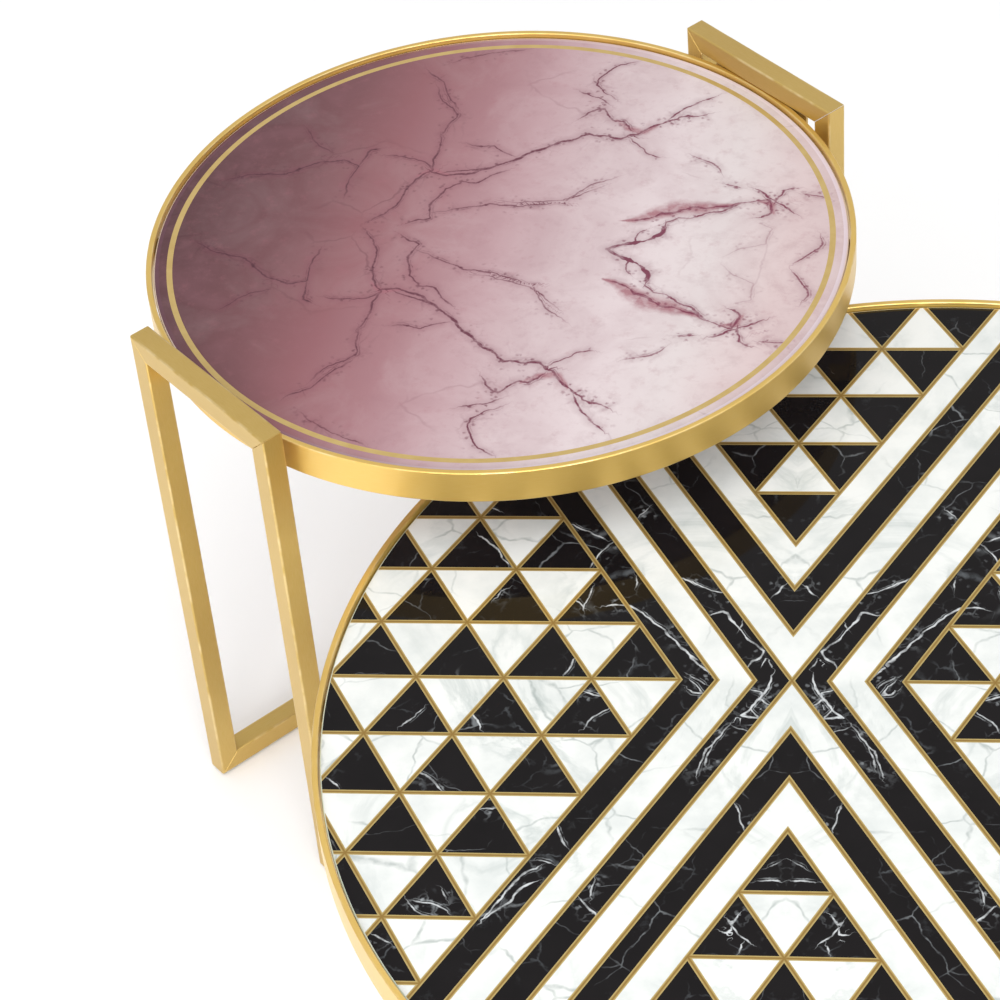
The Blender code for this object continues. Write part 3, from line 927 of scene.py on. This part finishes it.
# Family, half width in mm, x,y pairs in hundredths of the tall table's radius; the other half mirrors it
pinkVeins = (
    (0, 0.7, (-85,15, -80,18, -69,20, -60,27, -54,29, -49,27, -50,21, -49,13)),
    (1, 0.5, (-49,27, -48,35, -45,36)), (0, 0.5, (-42,33, -37,33, -29,31, -27,28)),
    (0, 0.4, (-70,43, -65,36, -58,32)), (1, 0.8, (-38,3, -33,10, -32,20, -29,26, -27,28, -28,33, -29,45)),
    (2, 1.5, (-28,28, -22,26, -16,28, -9,33, -3,38, 1,42, 7,47, 14,52, 24,51, 26,53, 29,55, 36,61,
        39,64, 46,66)),
    (0, 0.8, (36,62, 39,68, 42,71, 47,75)),
    (0, 0.8, (-28,3, -22,6, -24,12, -21,20, -17,24, -13,24, -6,31)),
    (1, 0.45, (-23,8, -14,12, -7,15, -1,15, 8,17, 15,18, 14,20, 18,23, 24,28)),
    (0, 0.45, (-20,42, -12,42, -8,39, -5,38)), (1, 0.6, (-24,27, -16,30, -10,32)),
    (1, 0.8, (26,55, 23,59, 20,59, 16,65, 14,64, 10,59)), (2, 0.5, (17,67, 13,70, 7,72)),
    (0, 0.6, (18,70, 11,76, 11,79, 13,83, 15,86, 20,89)),
    (2, 0.5, (-29,44, -28,50, -26,55, -30,59, -33,62, -36,68)),
    (0, 0.45, (-41,76, -35,71, -31,63, -27,58)), (2, 3.0, (31,0, 34,2, 38,4, 42,6, 45,10, 45,13)),
    (0, 1.3, (36,14, 43,18, 51,22, 57,23, 61,24, 63,26)), (0, 1.5, (63,26, 72,29, 73,27, 73,22, 71,21)),
    (1, 0.8, (73,27, 75,34, 78,35)), (1, 0.4, (58,34, 63,33)), (1, 0.4, (46,46, 53,43, 56,39)),
    (0, 0.8, (84,2, 87,6, 90,11, 89,14)), (2, 0.6, (81,33, 87,32)),
    (2, 0.4, (-35,81, -27,86, -20,89, -14,91)), (1, 0.35, (-4,17, 6,18, 15,20, 20,28, 27,33)),
    (2, 0.5, (26,52, 33,45, 37,44)), (1, 0.9, (45,14, 48,17, 52,17, 55,20, 60,22, 64,26)),
    (1, 0.6, (38,4, 38,8, 40,10)), (2, 0.9, (67,33, 71,30, 76,27, 80,24)),
    (1, 0.16, (64,2, 68,6, 74,9, 75,16, 71,18)),
)

# Half width in mm and x,y pairs of the soft stains, as above
pinkWashes = (
    (13.0, (32,13, 36,14, 40,17, 43,19, 47,21, 51,22, 55,23, 59,24, 64,26)),
    (5.0, (20,60, 25,56, 30,55, 34,60)), (4.0, (-32,24, -27,28, -20,26)), (4.0, (68,28, 73,27, 74,21)),
)

# Family, half width, x,y pairs in mm in the pattern's frame; the other half mirrors it
stoneVeins = (
    (0, 0.6, (82,108, 68,100, 56,95)),
    (0, 0.9, (64,71, 52,74, 49,66, 41,55, 35,45, 21,31, 26,23, 31,21, 34,14)), (1, 0.5, (41,56, 39,61)),
    (0, 0.6, (18,21, 15,15)), (0, 0.8, (15,5, 18,-7, 24,-19, 31,-30, 38,-37, 24,-39)),
    (1, 0.6, (31,-30, 24,-39)), (1, 0.5, (24,-19, 16,-26)), (2, 0.5, (31,-10, 24,-12, 22,-14)),
    (0, 0.7, (45,-46, 54,-61, 58,-66, 63,-71, 66,-88, 68,-97)), (1, 0.5, (58,-66, 61,-77, 62,-88)),
    (2, 0.5, (43,-48, 32,-53)), (0, 0.6, (8,103, 12,96, 16,92)), (0, 1.0, (78,24, 72,17, 64,9)),
    (1, 0.8, (77,-1, 72,-5, 66,-15, 73,-13, 77,-10)), (2, 0.6, (77,4, 65,-4)),
    (0, 0.6, (179,172, 169,165, 158,158, 150,153)), (1, 0.6, (144,153, 156,137, 161,123)),
    (0, 0.6, (158,97, 161,85, 163,74)), (1, 0.6, (170,85, 162,77)),
    (0, 0.9, (145,79, 139,80, 129,79, 120,74, 112,67, 101,55, 89,40, 80,28, 70,19)),
    (1, 0.5, (124,110, 123,101)), (0, 0.5, (119,189, 125,181)), (2, 0.5, (88,111, 78,104)),
    (0, 0.8, (251,157, 244,149, 235,141, 232,132, 226,125)), (1, 0.5, (248,194, 240,188)),
    (1, 0.5, (225,98, 230,95, 233,87)), (0, 0.7, (167,20, 168,14, 173,4)), (0, 0.6, (156,-14, 144,-19)),
    (2, 0.6, (279,-34, 284,-42, 292,-50)), (0, 0.6, (240,-39, 232,-53)),
    (1, 0.6, (138,-32, 148,-40, 154,-50)), (0, 0.7, (277,-97, 267,-104, 255,-115)),
    (1, 0.5, (343,-105, 333,-115)), (0, 0.9, (270,-223, 259,-235, 248,-238)),
    (1, 0.6, (265,-222, 249,-226, 241,-231)), (2, 0.5, (246,-213, 242,-219)),
    (0, 0.5, (179,-183, 169,-186)),
    (1, 1.0, (179,-190, 189,-196, 196,-206, 203,-219, 210,-232, 214,-239)),
    (2, 0.8, (214,-239, 195,-221, 189,-208, 180,-203)), (0, 0.7, (167,-151, 160,-168)),
    (2, 0.7, (146,-218, 134,-233)), (0, 0.6, (137,-202, 139,-216)), (1, 0.6, (290,-255, 279,-262)),
    (0, 0.5, (225,-134, 215,-134)), (0, 0.7, (38,-127, 36,-138, 32,-150)),
    (0, 0.7, (20,-199, 12,-197, 5,-198)), (1, 0.6, (12,-185, 5,-181)),
    (1, 0.7, (32,-231, 38,-239, 40,-235)), (2, 0.7, (38,-240, 33,-248, 29,-251, 25,-255)),
    (0, 0.6, (38,-242, 38,-247, 43,-246)), (1, 0.6, (30,-258, 31,-263)),
)


def printSpots(points, centre, turn):
    # Where each vertex lies in the print's frame, in metres
    dx, dy = points[:, 0] - centre[0], points[:, 1] - centre[1]
    return np.stack([dx * cos(turn) + dy * sin(turn), dy * cos(turn) - dx * sin(turn)], 1)


def pinkFields(points):
    table = tables["tall"]
    spots = printSpots(points, table["centre"], pinkPrint["turn"]) * 1000
    spots[:, 1] = np.abs(spots[:, 1])
    unit = table["radius"] * 10
    veins = [(family, width, np.array(line) * unit) for family, width, line in pinkVeins]
    fields = veinFields(spots, veins, pinkPrint["seed"])
    wash = np.zeros(len(spots))
    for halfWidth, line in pinkWashes:
        # A lens round a broken line: 1 on the line, 0 at a half width that follows the sine of the way along
        line = np.reshape(line, (-1, 2)) * unit
        for number in range(len(line) - 1):
            a, run = line[number], line[number + 1] - line[number]
            offset = spots - a
            along = np.clip(offset @ run / (run @ run), 0, 1)
            gap = np.linalg.norm(offset - along[:, None] * run, axis=1)
            reach = halfWidth * np.sin((number + along) / (len(line) - 1) * pi) + 0.3
            wash = np.maximum(wash, 1 - gap / reach)
    fields["veinWash"] = wash
    return fields


def patternFields(points):
    table = tables["low"]
    spot = (table["centre"][0] + inlay["centre"][0], table["centre"][1] + inlay["centre"][1])
    spots = printSpots(points, spot, inlay["turn"]) * 1000
    spots[:, 0] = np.abs(spots[:, 0])
    return veinFields(spots, stoneVeins, inlay["seed"])


# Glass tops
glassLook = {"arris": 0.0012, "topRows": 122, "steps": 640}


def makeGlassTop(prefix, material, edgeMaterial, backing, fields):
    # A round plate: flat underside, rounded arris, polished edge, flat face on rings of even spacing
    table = tables[prefix]
    look = glassLook
    low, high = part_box(f"{prefix}_glass_top")
    radius = (high.x - low.x) / 2
    arris = look["arris"]
    lowerRings = np.linspace(0, radius - arris, 5)
    upperRings = np.linspace(radius - arris, 0, look["topRows"])
    turn = np.linspace(0, pi / 2, 4)[1:-1]
    lowerArris = np.stack([radius - arris + arris * np.sin(turn), low.z + arris - arris * np.cos(turn)], 1)
    upperArris = np.stack([radius - arris + arris * np.cos(turn), high.z - arris + arris * np.sin(turn)], 1)
    profile = np.vstack([np.stack([lowerRings, np.full(5, low.z)], 1), lowerArris,
                         [(radius, low.z + arris), (radius, high.z - arris)], upperArris,
                         np.stack([upperRings, np.full(look["topRows"], high.z)], 1)])
    # Row by row: lacquered underside, polished edge, printed face
    rowMaterial = np.concatenate([np.full(3, 2), np.full(7, 1), np.full(len(profile) - 12, 0)])
    turnedPiece(f"{prefix}Glass", upright(*table["centre"]), profile, look["steps"], False,
                [material, edgeMaterial, backing], table["body"], [f"{prefix}_glass_top"],
                rowMaterial, extra=fields)
    print(prefix, "glass done")


# The two tables
# Lit and shaded copies of one brass: the tubes get painted shade, the rim band painted light
shadedTubeBrass = makeBrass("satin brass", brassLook["tubePaintedShade"])
lightenedRimBrass = makeBrass("satin brass band painted lighter", brassLook["bandPaintedLight"])
zinc = makeZinc()
silicone = makeSilicone()
glidePlastic = makeGlidePlastic()
pinkMarble = makePinkMarble(tables["tall"]["centre"], tables["tall"]["radius"])
pinkEdge = makeGlassEdge("pink glass edge", tone(214, 196, 190), tone(196, 178, 170))
pinkBacking = makeBacking("pink backing lacquer", tone(205, 186, 186), tone(190, 170, 171))
patternMarble = makePattern(tables["low"]["centre"])
patternEdge = makeGlassEdge("clear glass edge", tone(206, 214, 202), tone(184, 198, 186))
patternBacking = makeBacking("grey backing lacquer", tone(196, 196, 193), tone(180, 180, 178))
print("materials done")

for prefix in ("tall", "low"):
    makeRim(prefix, lightenedRimBrass)
    makeLegs(prefix, shadedTubeBrass)
    makeFittings(prefix, shadedTubeBrass, silicone, zinc, glidePlastic)
makeGlassTop("tall", pinkMarble, pinkEdge, pinkBacking, pinkFields)
makeGlassTop("low", patternMarble, patternEdge, patternBacking, patternFields)


# Floor, light and camera
studio = {
    "floorSize": 14.0,
    "floorCells": 8,
    "floorTone": (0.94, 0.94, 0.94, 1.0),
    "worldStrength": 0.74,
    "cameraPlace": (1.382173, -1.247146, 2.214920),
    "cameraHeading": radians(54.1854),
    "cameraPitch": radians(42.4617),
    "cameraRoll": radians(-5.6078),
    "lens": 118.928,
    # Place, target, width and height in metres, power in watts
    "overhead": ((0.9, -0.9, 5.0), (0.9, -0.9, 0), (6.0, 6.0), 143),
    "frontLeft": ((-0.2, -3.4, 1.7), (-0.1, 0, 0.2), (2.6, 2.0), 14),
    "frontLow": ((2.5, -2.0, 1.45), (-0.3, 0, 0.42), (2.6, 1.6), 106),
}


def makeFloor():
    # A wide square on a grid, with a faint mottle in the paper
    material, _, place = newMaterial("pale paper", {"Roughness": 0.9, "Specular IOR Level": 0.1})
    mottle = place.noise(1.7, 3.0)
    darker = tuple(channel * 0.985 for channel in studio["floorTone"][:3]) + (1.0,)
    connect(material, {"Base Color": mottle.mix(studio["floorTone"], darker)})
    half, cells = studio["floorSize"] / 2, studio["floorCells"]
    across = cells + 1
    spread = np.linspace(-half, half, across)
    x, y = np.meshgrid(spread, spread, indexing="ij")
    points = np.stack([x.ravel(), y.ravel(), np.zeros(x.size)], 1)
    i, j = np.meshgrid(np.arange(cells), np.arange(cells), indexing="ij")
    corner = i * across + j
    quads = np.stack([corner, corner + across, corner + across + 1, corner + 1], -1).reshape(-1, 4)
    mesh = bpy.data.meshes.new("floor")
    mesh.from_pydata(points.tolist(), [], quads.tolist())
    mesh.materials.append(material)
    floor = bpy.data.objects.new("floor", mesh)
    bpy.context.scene.collection.objects.link(floor)


def addLamp(name, place, target, size, power):
    lamp = bpy.data.lights.new(name, "AREA")
    lamp.shape = "RECTANGLE"
    lamp.size, lamp.size_y = size
    lamp.energy = power
    holder = bpy.data.objects.new(name, lamp)
    bpy.context.scene.collection.objects.link(holder)
    holder.location = place
    holder.rotation_euler = (Vector(target) - Vector(place)).to_track_quat("-Z", "Y").to_euler()
    return holder


def limitReach(holder, state):
    # INCLUDE keeps a lamp's light to the glass tops, EXCLUDE gives it to everything but them
    reach = bpy.data.collections.new(f"{holder.name} reach")
    for prefix in tables:
        reach.objects.link(bpy.data.objects[f"{prefix}Glass"])
    holder.light_linking.receiver_collection = reach
    for entry in reach.collection_objects:
        entry.light_linking.link_state = state


def makeLight():
    world = bpy.data.worlds.new("studio")
    bpy.context.scene.world = world
    world.use_nodes = True
    background = world.node_tree.nodes["Background"]
    background.inputs["Color"].default_value = (1, 1, 1, 1)
    background.inputs["Strength"].default_value = studio["worldStrength"]
    addLamp("overhead", *studio["overhead"])
    addLamp("frontLeft", *studio["frontLeft"])
    # The low lamp lights the glass without being mirrored in it, which would hide the prints from behind
    limitReach(addLamp("frontLow", *studio["frontLow"]), "EXCLUDE")
    onGlass = addLamp("frontLowGlass", *studio["frontLow"])
    onGlass.visible_glossy = False
    limitReach(onGlass, "INCLUDE")


def makeCamera():
    # Right and forward lie on the floor; pitch tips the view down and roll turns it about its own axis
    heading, pitch, roll = (studio[key] for key in ("cameraHeading", "cameraPitch", "cameraRoll"))
    right = Vector((cos(heading), sin(heading), 0))
    level = Vector((-sin(heading), cos(heading), 0))
    forward = level * cos(pitch) - Vector((0, 0, sin(pitch)))
    up = right.cross(forward)
    rolledRight = right * cos(roll) + up * sin(roll)
    rolledUp = up * cos(roll) - right * sin(roll)
    lens = bpy.data.cameras.new("view")
    lens.lens = studio["lens"]
    lens.sensor_width = 36
    lens.clip_start = 0.05
    camera = bpy.data.objects.new("view", lens)
    bpy.context.scene.collection.objects.link(camera)
    turned = Matrix((rolledRight, rolledUp, -forward)).transposed().to_4x4()
    camera.matrix_world = Matrix.Translation(studio["cameraPlace"]) @ turned
    bpy.context.scene.camera = camera


makeFloor()
makeLight()
makeCamera()
bpy.context.scene.view_settings.view_transform = "Standard"
print("studio done")
